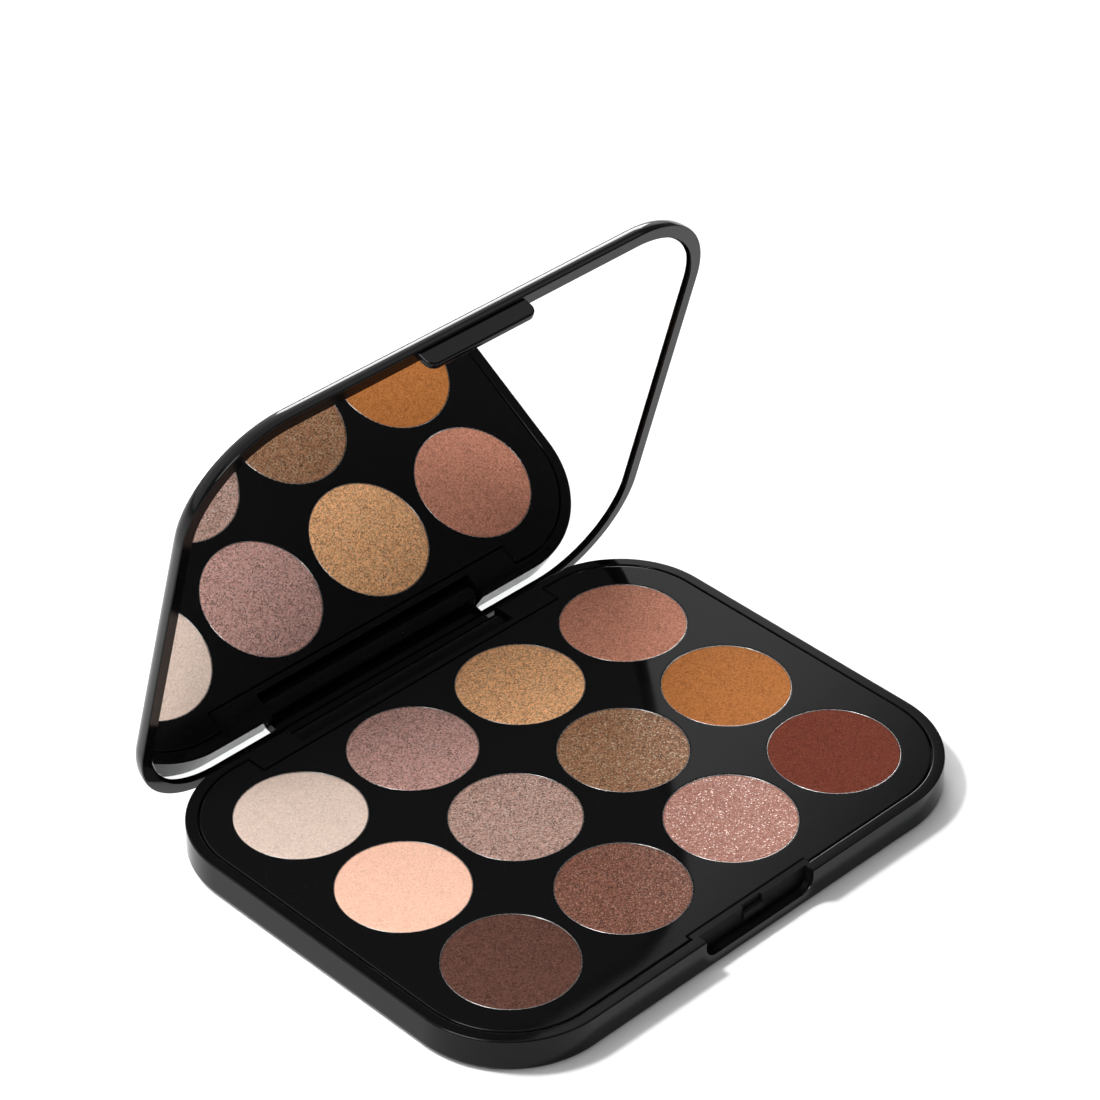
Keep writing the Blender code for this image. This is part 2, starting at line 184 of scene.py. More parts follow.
def filleted(corners, steps=6):
    """A polyline from (u, v, radius) corners, each bent round with its own radius."""
    points = []
    for index, (u, v, radius) in enumerate(corners):
        here = Vector((u, v))
        if radius <= 0.0 or index in (0, len(corners) - 1):
            points.append(here)
            continue
        back = (Vector(corners[index - 1][:2]) - here).normalized()
        ahead = (Vector(corners[index + 1][:2]) - here).normalized()
        half = back.angle(ahead) / 2
        centre = here + (back + ahead).normalized() * (radius / math.sin(half))
        start = here + back * (radius / math.tan(half)) - centre
        end = here + ahead * (radius / math.tan(half)) - centre
        for step in range(steps + 1):
            turn = start.angle_signed(end) * step / steps
            points.append(centre + Matrix.Rotation(-turn, 2) @ start)
    return points


def ring_points(low, high, corner, inset, z):
    """A rounded rectangle's outline at one height, with the same number of points at any inset."""
    radius = max(corner - inset, 0.0002)
    points = []
    for quadrant in range(4):
        side_x = (1, -1, -1, 1)[quadrant]
        side_y = (1, 1, -1, -1)[quadrant]
        centre_x = (high[0] if side_x > 0 else low[0]) - side_x * (inset + radius)
        centre_y = (high[1] if side_y > 0 else low[1]) - side_y * (inset + radius)
        for step in range(CORNER_STEPS + 1):
            angle = (quadrant + step / CORNER_STEPS) * math.pi / 2
            x = centre_x + radius * math.cos(angle)
            y = centre_y + radius * math.sin(angle)
            points.append((x, y, z))
    return points


def swept(low, high, corner, profile):
    """A closed solid: (inset, height) points carried round a rounded rectangle, both ends capped."""
    bm = bmesh.new()
    rings = []
    for inset, z in profile:
        points = ring_points(low, high, corner, inset, z)
        rings.append([bm.verts.new(point) for point in points])
    count = len(rings[0])
    for lower, upper in zip(rings, rings[1:]):
        for index in range(count):
            after = (index + 1) % count
            bm.faces.new((lower[index], lower[after], upper[after], upper[index]))
    bm.faces.new(list(reversed(rings[0])))
    bm.faces.new(rings[-1])
    bmesh.ops.recalc_face_normals(bm, faces=bm.faces)
    return bm


def lathed(profile, steps):
    """A closed solid turned about Z from (radius, height) points, with both ends on the axis."""
    bm = bmesh.new()
    rings = []
    for radius, z in profile:
        if radius < 1e-7:
            rings.append([bm.verts.new((0.0, 0.0, z))])
            continue
        ring = []
        for step in range(steps):
            angle = step / steps * math.tau
            ring.append(bm.verts.new((radius * math.cos(angle), radius * math.sin(angle), z)))
        rings.append(ring)
    for lower, upper in zip(rings, rings[1:]):
        for step in range(steps):
            after = (step + 1) % steps
            corners = []
            for ring, at in ((lower, step), (lower, after), (upper, after), (upper, step)):
                vert = ring[at % len(ring)]
                if vert not in corners:
                    corners.append(vert)
            if len(corners) > 2:
                bm.faces.new(corners)
    bmesh.ops.recalc_face_normals(bm, faces=bm.faces)
    return bm


def block(low, high):
    bm = bmesh.new()
    bmesh.ops.create_cube(bm, size=1.0)
    size = [b - a for a, b in zip(low, high)]
    middle = [(a + b) / 2 for a, b in zip(low, high)]
    bmesh.ops.scale(bm, vec=size, verts=bm.verts)
    bmesh.ops.translate(bm, vec=middle, verts=bm.verts)
    return bm


def edges_along(bm, axis):
    """The edges of a plain box that run along one axis."""
    found = []
    for edge in bm.edges:
        run = edge.verts[1].co - edge.verts[0].co
        if abs(run[axis]) > 0.999 * run.length:
            found.append(edge)
    return found


def round_edges(bm, edges, radius, steps):
    bmesh.ops.bevel(
        bm,
        geom=edges,
        offset=radius,
        offset_type="OFFSET",
        segments=steps,
        profile=0.5,
        affect="EDGES",
    )


def rod_along_x(x_low, x_high, radius, steps=72):
    """A rod on the hinge axis."""
    bm = bmesh.new()
    turn = Matrix.Rotation(math.radians(90), 4, "Y")
    place = Matrix.Translation(((x_low + x_high) / 2, PIVOT.y, PIVOT.z))
    bmesh.ops.create_cone(
        bm,
        cap_ends=True,
        segments=steps,
        radius1=radius,
        radius2=radius,
        depth=x_high - x_low,
        matrix=place @ turn,
    )
    return bm


def prism_along_x(outline, half_length):
    """A solid from a (y, z) outline, carried along X."""
    bm = bmesh.new()
    near = [bm.verts.new((-half_length, y, z)) for y, z in outline]
    far = [bm.verts.new((half_length, y, z)) for y, z in outline]
    bm.faces.new(near)
    bm.faces.new(far)
    for index in range(len(outline)):
        after = (index + 1) % len(outline)
        bm.faces.new((near[index], near[after], far[after], far[index]))
    bmesh.ops.recalc_face_normals(bm, faces=bm.faces)
    return bm


def new_object(name, bm):
    mesh = bpy.data.meshes.new(name)
    bm.to_mesh(mesh)
    bm.free()
    obj = bpy.data.objects.new(name, mesh)
    bpy.context.scene.collection.objects.link(obj)
    return obj


def settle(obj):
    """Replaces an object's mesh by what its modifiers make of it."""
    graph = bpy.context.evaluated_depsgraph_get()
    made = bpy.data.meshes.new_from_object(obj.evaluated_get(graph))
    obj.modifiers.clear()
    obj.data = made


def carve(obj, tool_mesh, operation):
    """Joins a bmesh to an object, or cuts it away."""
    tool = new_object("tool", tool_mesh)
    modifier = obj.modifiers.new("carve", "BOOLEAN")
    modifier.object = tool
    modifier.operation = operation
    modifier.solver = "EXACT"
    settle(obj)
    bpy.data.objects.remove(tool, do_unlink=True)


def soften(obj, width, segments=2):
    """Breaks the sharp edges of a piece and shades it smooth, with its flat faces kept flat."""
    bevel = obj.modifiers.new("soften", "BEVEL")
    bevel.width = width
    bevel.segments = segments
    bevel.limit_method = "ANGLE"
    bevel.angle_limit = BEVEL_ANGLE
    bevel.use_clamp_overlap = True
    bevel.miter_outer = "MITER_ARC"
    settle(obj)
    shade(obj)


def shade(obj):
    obj.data.shade_smooth()
    obj.data.set_sharp_from_angle(angle=SHARP_ANGLE)
    weighted = obj.modifiers.new("flat_faces", "WEIGHTED_NORMAL")
    weighted.keep_sharp = True
    weighted.weight = 100
    settle(obj)


# ------------------------------------------------------------ material helpers


class Paint:
    """One material's node tree, with short calls for the nodes it uses."""

    def __init__(self, name):
        self.material = bpy.data.materials.new(name)
        self.material.use_nodes = True
        self.nodes = self.material.node_tree.nodes
        self.links = self.material.node_tree.links
        self.shader = self.nodes["Principled BSDF"]
        self.place = self.nodes.new("ShaderNodeTexCoord").outputs["Object"]

    def put(self, socket, value):
        """Links a node's output to an input, or writes a plain value there."""
        if isinstance(value, bpy.types.NodeSocket):
            self.links.new(value, socket)
        else:
            socket.default_value = value

    def set(self, **values):
        for name, value in values.items():
            self.put(self.shader.inputs[name.replace("_", " ")], value)

    def scaled(self, x, y, z):
        node = self.nodes.new("ShaderNodeMapping")
        self.links.new(self.place, node.inputs["Vector"])
        node.inputs["Scale"].default_value = (x, y, z)
        return node.outputs["Vector"]

    def noise(self, size, detail=2.0, roughness=0.5, at=None):
        """Soft noise whose features are about size metres across."""
        node = self.nodes.new("ShaderNodeTexNoise")
        self.links.new(at or self.place, node.inputs["Vector"])
        node.inputs["Scale"].default_value = 1.0 / size
        node.inputs["Detail"].default_value = detail
        node.inputs["Roughness"].default_value = roughness
        return node.outputs["Fac"]

    def cells(self, size, output="Color"):
        """Separate cells about size metres across, each with its own random colour."""
        node = self.nodes.new("ShaderNodeTexVoronoi")
        self.links.new(self.place, node.inputs["Vector"])
        node.inputs["Scale"].default_value = 1.0 / size
        return node.outputs[output]

    def math(self, operation, first, second):
        node = self.nodes.new("ShaderNodeMath")
        node.operation = operation
        self.put(node.inputs[0], first)
        self.put(node.inputs[1], second)
        return node.outputs[0]

    def vector(self, operation, first, second=(0.0, 0.0, 0.0), scale=None):
        node = self.nodes.new("ShaderNodeVectorMath")
        node.operation = operation
        self.put(node.inputs[0], first)
        self.put(node.inputs[1], second)
        if scale is not None:
            self.put(node.inputs["Scale"], scale)
        return node.outputs["Value" if operation in ("LENGTH", "DOT_PRODUCT") else "Vector"]

    def split(self, vector):
        node = self.nodes.new("ShaderNodeSeparateXYZ")
        self.links.new(vector, node.inputs[0])
        return node.outputs

    def between(self, value, low, high, to_low=0.0, to_high=1.0):
        """A value brought from one range to another, smoothly and without passing its ends."""
        node = self.nodes.new("ShaderNodeMapRange")
        node.interpolation_type = "SMOOTHSTEP"
        self.put(node.inputs["Value"], value)
        node.inputs["From Min"].default_value = low
        node.inputs["From Max"].default_value = high
        node.inputs["To Min"].default_value = to_low
        node.inputs["To Max"].default_value = to_high
        return node.outputs["Result"]

    def mix(self, share, first, second):
        node = self.nodes.new("ShaderNodeMix")
        node.data_type = "RGBA"
        self.put(node.inputs["Factor"], share)
        for socket, colour in ((node.inputs[6], first), (node.inputs[7], second)):
            plain = not isinstance(colour, bpy.types.NodeSocket)
            self.put(socket, (*colour, 1.0) if plain else colour)
        return node.outputs[2]

    def bump(self, height, distance, strength=1.0, normal=None):
        node = self.nodes.new("ShaderNodeBump")
        node.inputs["Strength"].default_value = strength
        node.inputs["Distance"].default_value = distance
        self.links.new(height, node.inputs["Height"])
        if normal:
            self.links.new(normal, node.inputs["Normal"])
        return node.outputs["Normal"]


def shades(colour, factor):
    return tuple(min(channel * factor, 1.0) for channel in colour)


# ------------------------------------------------------------------- materials


PLASTIC_IOR = 1.24


def gloss_plastic(name, colour, roughness):
    """Polished black moulding: deep gloss, faint waviness, hair-fine rub marks and a little dust."""
    paint = Paint(name)
    cloud = paint.noise(0.018, 3.0)
    fine = paint.noise(0.0009, 2.0)
    rubbed = paint.noise(0.0004, 3.0, 0.6, paint.scaled(0.12, 1.0, 1.0))
    tone = paint.math("MULTIPLY", paint.math("ADD", cloud, fine), 0.5)
    paint.set(Base_Color=paint.mix(tone, shades(colour, 0.8), shades(colour, 1.25)))
    worn = paint.between(rubbed, 0.56, 0.74, 0.0, 0.05)
    hazy = paint.between(cloud, 0.3, 0.7, roughness * 0.85, roughness * 1.15)
    paint.set(Roughness=paint.math("ADD", hazy, worn))
    wave = paint.bump(paint.noise(0.0050, 1.0), 0.000012, 0.3)
    paint.set(Normal=paint.bump(fine, 0.000002, 0.3, wave), IOR=PLASTIC_IOR)
    return paint.material


def matt_plastic():
    """Unpolished, spark-textured black plastic: the lid's back, and the latch recess, where its dull
    dark finish is painted shade.
    """
    paint = Paint("matt_black_plastic")
    grain = paint.noise(0.00012, 3.0, 0.6)
    paint.set(
        Base_Color=paint.mix(grain, (0.0016, 0.0016, 0.0017), (0.0030, 0.0030, 0.0032)),
        Roughness=paint.between(grain, 0.3, 0.7, 0.50, 0.65),
        Normal=paint.bump(grain, 0.00001, 0.5),
        Specular_IOR_Level=0.12,
    )
    return paint.material


def brushed_metal(name, colour, roughness, grain):
    """Drawn sheet or turned wire: fine streaks and soft tarnish."""
    paint = Paint(name)
    streaks = paint.noise(grain, 3.0, 0.6, paint.scaled(1.0, 1.0, 6.0))
    cloud = paint.noise(0.004, 2.0)
    paint.set(
        Base_Color=paint.mix(cloud, shades(colour, 0.86), colour),
        Metallic=1.0,
        Roughness=paint.between(streaks, 0.3, 0.7, roughness * 0.8, roughness * 1.25),
        Normal=paint.bump(streaks, 0.000004, 0.4),
    )
    return paint.material


def silvered_glass():
    """The mirror: near-perfect silver with the faintest haze."""
    paint = Paint("silvered_glass")
    haze = paint.noise(0.011, 4.0, 0.6)
    paint.set(
        Base_Color=paint.mix(haze, (0.945, 0.955, 0.955), (0.965, 0.972, 0.970)),
        Metallic=1.0,
        Roughness=paint.between(haze, 0.45, 0.85, 0.004, 0.016),
    )
    return paint.material


def paper_label():
    """A blank printed label: dark matt paper with fibres."""
    paint = Paint("paper_label")
    fibres = paint.noise(0.0005, 4.0, 0.7, paint.scaled(0.4, 1.0, 1.0))
    paint.set(
        Base_Color=paint.mix(fibres, (0.014, 0.014, 0.015), (0.026, 0.026, 0.027)),
        Roughness=paint.between(fibres, 0.3, 0.7, 0.50, 0.66),
        Normal=paint.bump(fibres, 0.00001, 0.5),
    )
    return paint.material


def foam_pad():
    """Double-sided foam tape behind the mirror."""
    paint = Paint("foam_pad")
    pores = paint.cells(0.0004, "Distance")
    paint.set(
        Base_Color=paint.mix(pores, (0.62, 0.62, 0.60), (0.84, 0.84, 0.81)),
        Roughness=paint.between(pores, 0.1, 0.6, 0.65, 0.85),
        Normal=paint.bump(pores, 0.00004, 0.6),
    )
    return paint.material


# Each shade: finish, colour, flake colour (also the tint of painted glints), contrast of its specks
# (partly painted glints)
MATTE, SATIN, SHIMMER, GLITTER = "matte", "satin", "shimmer", "glitter"
SHADES = {
    "beige": (MATTE, (0.644, 0.500, 0.421), (0.694, 0.574, 0.502), 0.24),
    "mauve": (SHIMMER, (0.393, 0.203, 0.169), (0.601, 0.457, 0.429), 0.95),
    "gold": (SHIMMER, (0.657, 0.315, 0.135), (0.805, 0.605, 0.380), 0.90),
    "dusty_pink": (MATTE, (0.480, 0.196, 0.127), (0.455, 0.243, 0.180), 0.60),
    "peach": (SATIN, (0.785, 0.446, 0.326), (0.888, 0.627, 0.491), 0.20),
    "taupe": (GLITTER, (0.308, 0.170, 0.129), (0.695, 0.577, 0.530), 0.95),
    "bronze": (GLITTER, (0.199, 0.075, 0.031), (0.468, 0.397, 0.260), 1.00),
    "mustard": (MATTE, (0.350, 0.119, 0.029), (0.345, 0.154, 0.056), 0.48),
    "dark_brown": (MATTE, (0.084, 0.035, 0.025), (0.129, 0.065, 0.049), 0.70),
    "red_brown": (SHIMMER, (0.125, 0.041, 0.023), (0.376, 0.213, 0.159), 1.00),
    "rose": (GLITTER, (0.281, 0.105, 0.072), (0.726, 0.544, 0.482), 0.42),
    "brick": (MATTE, (0.119, 0.023, 0.011), (0.159, 0.052, 0.033), 0.42),
}

# Each finish: share of flakes, flake size, flake metal, flake tilt, roughness
FINISHES = {
    MATTE: (0.05, 0.00022, 0.0, 0.10, 0.90),
    SATIN: (0.12, 0.00022, 0.1, 0.20, 0.66),
    SHIMMER: (0.24, 0.00026, 0.3, 0.35, 0.62),
    GLITTER: (0.22, 0.00028, 0.3, 0.45, 0.62),
}
SPECK_SIZE = 0.00023


def pressed_powder(shade, radius):
    """Pressed pigment: specks, soft mottling, pearl flakes at odd angles, a paler pressed edge. The
    bright specks and the flakes' pale colour are partly painted glints, and the paler edge is a
    painted highlight.
    """
    finish, colour, flake_and_glint_colour, contrast = SHADES[shade]
    share, flake_size, metal, tilt, roughness = FINISHES[finish]
    paint = Paint("powder_" + shade)
    grain = paint.noise(0.00026, 3.0, 0.65)
    mottle = paint.noise(0.0042, 3.0, 0.55)
    # Specks: the pigment's own grain, and on the shimmer and glitter shades painted glints of their
    # flakes
    specks_and_glints = paint.split(paint.cells(SPECK_SIZE))
    body = paint.mix(
        specks_and_glints[0],
        shades(colour, 1.0 - contrast),
        tuple(0.75 * c * (1.0 + contrast) + 0.25 * f for c, f in zip(colour, flake_and_glint_colour)),
    )
    body = paint.mix(paint.between(grain, 0.25, 0.75, 0.0, 0.3), body, colour)
    patchy = paint.between(mottle, 0.3, 0.7, 0.0, 0.30)
    body = paint.mix(patchy, body, shades(colour, 1.14))

    # Flakes: tilted and partly metal; their pale colour mixed into the base colour is partly painted
    # glint
    random = paint.cells(flake_size)
    channels = paint.split(random)
    inside = paint.between(paint.cells(flake_size, "Distance"), 0.42, 0.60, 1.0, 0.0)
    chosen = paint.between(channels[0], 1.0 - share - 0.05, 1.0 - share + 0.05)
    flake = paint.math("MULTIPLY", chosen, inside)
    strength = paint.math("MULTIPLY", flake, paint.between(channels[1], 0.0, 1.0, 0.35, 1.0))
    body = paint.mix(strength, body, flake_and_glint_colour)

    # A paler ring at the pressed edge: a painted highlight where the shoulder catches the light
    from_axis = paint.vector("MULTIPLY", paint.place, (1.0, 1.0, 0.0))
    distance = paint.vector("LENGTH", from_axis)
    edge = paint.between(distance, radius * 0.975, radius * 0.998, 0.0, 0.22)
    body = paint.mix(edge, body, shades(colour, 1.30))

    lean = paint.vector("SUBTRACT", random, (0.5, 0.5, 0.5))
    lean = paint.vector("SCALE", lean, scale=paint.math("MULTIPLY", flake, tilt))
    relief = paint.bump(grain, 0.00003, 0.5)
    relief = paint.bump(mottle, 0.00006, 0.25, relief)
    normal = paint.vector("NORMALIZE", paint.vector("ADD", relief, lean))
    paint.set(
        Base_Color=body,
        Metallic=paint.math("MULTIPLY", flake, metal),
        Roughness=paint.between(flake, 0.0, 1.0, roughness, roughness * 0.62),
        Normal=normal,
        Specular_IOR_Level=0.12 if finish == MATTE else 0.25,
    )
    return paint.material


# ---------------------------------------------------------------------- pieces


def finish_piece(obj, material, body, slot, *nodes):
    """Gives a new piece its material, and its place in the frame."""
    obj.data.materials.clear()
    obj.data.materials.append(material)
    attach(obj, body)
    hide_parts(*nodes)
    return obj


def latch_opening(low_z, front_y, corner):
    """A cutter for the latch recess: open to the top and front, with two rounded lower corners."""
    bm = block(
        (-LATCH_HALF_WIDTH, front_y, low_z),
        (LATCH_HALF_WIDTH, LATCH_BACK_Y, TRAY_TOP + 2 * PAST),
    )
    lower = [edge for edge in edges_along(bm, 1) if edge.verts[0].co.z < TRAY_TOP]
    round_edges(bm, lower, corner, 12)
    return bm


def rear_relief():
    """What the lid sweeps at the tray's top rear edge: everything past an arc about the hinge axis."""
    rear = HALF_DEPTH + 0.0005
    above = TRAY_TOP + PAST
    last = math.asin((rear - PIVOT.y) / REAR_RELIEF_RADIUS)
    outline = []
    for step in range(17):
        angle = last * step / 16
        outline.append(
            (
                PIVOT.y + REAR_RELIEF_RADIUS * math.sin(angle),
                PIVOT.z + REAR_RELIEF_RADIUS * math.cos(angle),
            )
        )
    outline += [(rear, above), (PIVOT.y, above)]
    return prism_along_x(outline, HALF_WIDTH + PAST)


def paint_recess_shade(tray):
    """Gives the inside of the latch recess the dull matt finish: painted shade for the dark inside of
    the recess.
    """
    for face in tray.data.polygons:
        at = face.center
        beside = abs(at.x) > LATCH_HALF_WIDTH + 0.00005
        outside = at.y < LATCH_LIP_THICKNESS - HALF_DEPTH or at.y > LATCH_BACK_Y + SLOT_DEPTH + GAP
        if not (beside or outside or at.z > TRAY_TOP - 0.0002):
            face.material_index = 1


def make_tray(material, recess_shade_material):
    seat = DECK_LOW - GAP
    well = RIM_WIDTH + LEDGE_WIDTH
    profile = filleted(
        (
            (FOOT_INSET, 0.0, 0.0),
            (0.0, 0.0, FOOT_ROUND),
            (0.0, TRAY_TOP, RIM_OUTER_ROUND),
            (RIM_WIDTH, TRAY_TOP, RIM_INNER_ROUND),
            (RIM_WIDTH, seat, 0.0),
            (well, seat, 0.00015),
            (well, TRAY_FLOOR, 0.0),
            (well + 0.002, TRAY_FLOOR, 0.0),
        )
    )
    low, high = (-HALF_WIDTH, -HALF_DEPTH), (HALF_WIDTH, HALF_DEPTH)
    tray = new_object("tray_moulding", swept(low, high, CORNER, profile))

    wall = block(
        (-LATCH_BLOCK_HALF, -HALF_DEPTH + BLOCK_INSET, TRAY_FLOOR - GAP),
        (LATCH_BLOCK_HALF, LATCH_BLOCK_Y, TRAY_TOP),
    )
    carve(tray, wall, "UNION")
    carve(tray, latch_opening(LATCH_LIP_Z, -HALF_DEPTH - 2 * PAST, LATCH_CORNER), "DIFFERENCE")
    pocket = latch_opening(LATCH_FLOOR_Z, LATCH_LIP_THICKNESS - HALF_DEPTH, TAB_CORNER)
    carve(tray, pocket, "DIFFERENCE")
    slot = block(
        (-CATCH_HALF_WIDTH, LATCH_BACK_Y - PAST, CATCH_HIGH_Z),
        (CATCH_HALF_WIDTH, LATCH_BACK_Y + SLOT_DEPTH, TRAY_TOP + 2 * PAST),
    )
    carve(tray, slot, "DIFFERENCE")
    catch = block(
        (-CATCH_HALF_WIDTH, LATCH_BACK_Y - CATCH_REACH, CATCH_LOW_Z),
        (CATCH_HALF_WIDTH, LATCH_BACK_Y + GAP, CATCH_HIGH_Z),
    )
    carve(tray, catch, "UNION")

    housing = block(
        (-HOUSING_HALF, HINGE_WALL_Y, TRAY_FLOOR - GAP),
        (HOUSING_HALF, HALF_DEPTH - BLOCK_INSET, TRAY_TOP),
    )
    carve(tray, housing, "UNION")
    notch = block(
        (-NOTCH_HALF_WIDTH, HINGE_NOTCH_Y, -PAST),
        (NOTCH_HALF_WIDTH, HALF_DEPTH + 4 * PAST, TRAY_TOP + 2 * PAST),
    )
    carve(tray, notch, "DIFFERENCE")
    sill = block(
        (-NOTCH_HALF_WIDTH - SILL_ROOT, HINGE_NOTCH_Y - SILL_ROOT, SILL_LOW_Z),
        (NOTCH_HALF_WIDTH + SILL_ROOT, SILL_BACK_Y, SILL_HIGH_Z),
    )
    carve(tray, sill, "UNION")
    carve(tray, rear_relief(), "DIFFERENCE")
    for sign in (-1, 1):
        x_low, x_high = sorted((sign * (NOTCH_HALF_WIDTH - PAST), sign * (PIN_OUT + GAP)))
        carve(tray, rod_along_x(x_low, x_high, PIN_BORE, 32), "DIFFERENCE")

    label_low, label_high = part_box("underside_label")
    recess = swept(
        (label_low.x - GAP, label_low.y - GAP),
        (label_high.x + GAP, label_high.y + GAP),
        LABEL_CORNER,
        ((0.0, -PAST), (0.0, LABEL_RECESS)),
    )
    carve(tray, recess, "DIFFERENCE")
    soften(tray, CUT_BEVEL)
    finish_piece(tray, material, "base", "black_gloss_plastic", "base_shell")
    # The dull matt finish inside the latch recess is painted shade
    tray.data.materials.append(recess_shade_material)
    paint_recess_shade(tray)


def make_deck(material):
    inset = RIM_WIDTH + GAP
    low, high = (-HALF_WIDTH, -HALF_DEPTH), (HALF_WIDTH, HALF_DEPTH)
    slab = swept(low, high, CORNER, ((inset, DECK_LOW), (inset, TRAY_TOP)))
    deck = new_object("deck_frame", slab)
    step = block(
        (-LATCH_BLOCK_HALF - GAP, -HALF_DEPTH, DECK_LOW - PAST),
        (LATCH_BLOCK_HALF + GAP, LATCH_BLOCK_Y + GAP, TRAY_TOP + PAST),
    )
    carve(deck, step, "DIFFERENCE")
    notch = block(
        (-HOUSING_HALF - GAP, HINGE_WALL_Y - GAP, DECK_LOW - PAST),
        (HOUSING_HALF + GAP, HALF_DEPTH, TRAY_TOP + PAST),
    )
    carve(deck, notch, "DIFFERENCE")
    soften(deck, DECK_EDGE_ROUND, 4)
    for number in range(1, len(SHADES) + 1):
        pan_low, pan_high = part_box("pan_%02d" % number)
        centre = (pan_low + pan_high) / 2
        top = TRAY_TOP + PAST
        hole = lathed(
            (
                (0.0, DECK_LOW - PAST),
                (HOLE_RADIUS, DECK_LOW - PAST),
                (HOLE_RADIUS, TRAY_TOP - HOLE_EDGE_ROUND),
                (HOLE_RADIUS + HOLE_EDGE_ROUND * 0.3, TRAY_TOP - HOLE_EDGE_ROUND * 0.3),
                (HOLE_RADIUS + HOLE_EDGE_ROUND, TRAY_TOP),
                (HOLE_RADIUS + HOLE_EDGE_ROUND, top),
                (0.0, top),
            ),
            HOLE_STEPS,
        )
        bmesh.ops.translate(hole, vec=(centre.x, centre.y, 0.0), verts=hole.verts)
        carve(deck, hole, "DIFFERENCE")
    shade(deck)
    return finish_piece(deck, material, "base", "deck_gloss_plastic", "deck_panel")


def make_pans(metal):
    """Twelve drawn metal pans with a rolled lip."""
    radius, wall = PAN_RADIUS, PAN_LIP
    low, top = PAN[0].z, PAN[1].z
    profile = filleted(
        (
            (0.0, low + wall, 0.0),
            (radius - wall, low + wall, 0.0005),
            (radius - wall, top, wall * 0.49),
            (radius, top, wall * 0.49),
            (radius, low, 0.0006),
            (0.0, low, 0.0),
        )
    )
    for number in range(1, len(SHADES) + 1):
        node = "pan_%02d" % number
        pan_low, pan_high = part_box(node)
        centre = (pan_low + pan_high) / 2
        pan = new_object("metal_" + node, lathed(profile, PAN_STEPS))
        pan.location = (centre.x, centre.y, 0.0)
        shade(pan)
        finish_piece(pan, metal, "base", "pan_metal", node)


def make_powders():
    """Twelve pressed cakes: an almost flat face with a worn shoulder, each a little different."""
    radius = PAN_RADIUS - PAN_LIP - CAKE_SPACE
    top, low = PAN[1].z - CAKE_SPACE, POWDER[0].z
    shoulder = CAKE_SHOULDER
    profile = [(0.0, low), (radius, low)]
    for step in range(7):
        angle = step / 6 * math.pi / 2
        profile.append(
            (
                radius - shoulder * (1 - math.cos(angle)),
                top - shoulder * (1 - math.sin(angle)),
            )
        )
    inner = radius - shoulder
    for step in range(1, CAKE_RINGS + 1):
        profile.append((inner * (1 - step / CAKE_RINGS), top))
    for number, shade_name in enumerate(SHADES, start=1):
        node = "powder_%02d_%s" % (number, shade_name)
        low_corner, high_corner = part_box(node)
        centre = (low_corner + high_corner) / 2
        bm = lathed(profile, CAKE_STEPS)
        for vert in bm.verts:
            if vert.co.z < top - shoulder * 1.1:
                continue
            spot = Vector((vert.co.x, vert.co.y, number * 0.1))
            soft = noise.noise(spot / 0.0060) * 0.000030
            fine = noise.noise(spot / 0.0009) * 0.000006
            vert.co.z += soft + fine
        cake = new_object("cake_%02d_%s" % (number, shade_name), bm)
        cake.location = (centre.x, centre.y, 0.0)
        shade(cake)
        finish_piece(
            cake, pressed_powder(shade_name, radius), "base", "powder_" + shade_name, node
        )


def latch_tab():
    """The tab that drops into the latch recess, with rounded corners and softened faces."""
    tab = block(
        (-TAB_HALF_WIDTH, TAB_OUTER_Y, LID_LOW - TAB_LENGTH),
        (TAB_HALF_WIDTH, TAB_INNER_Y, LID_LOW + NECK_ROOT),
    )
    lower = [edge for edge in edges_along(tab, 1) if edge.verts[0].co.z < LID_LOW]
    round_edges(tab, lower, TAB_CORNER, 12)
    for y, radius in ((TAB_OUTER_Y, TAB_FACE_ROUND), (TAB_INNER_Y, TAB_FACE_ROUND / 2)):
        rim = [edge for edge in tab.edges if all(abs(v.co.y - y) < 1e-6 for v in edge.verts)]
        round_edges(tab, rim, radius, 4)
    return tab


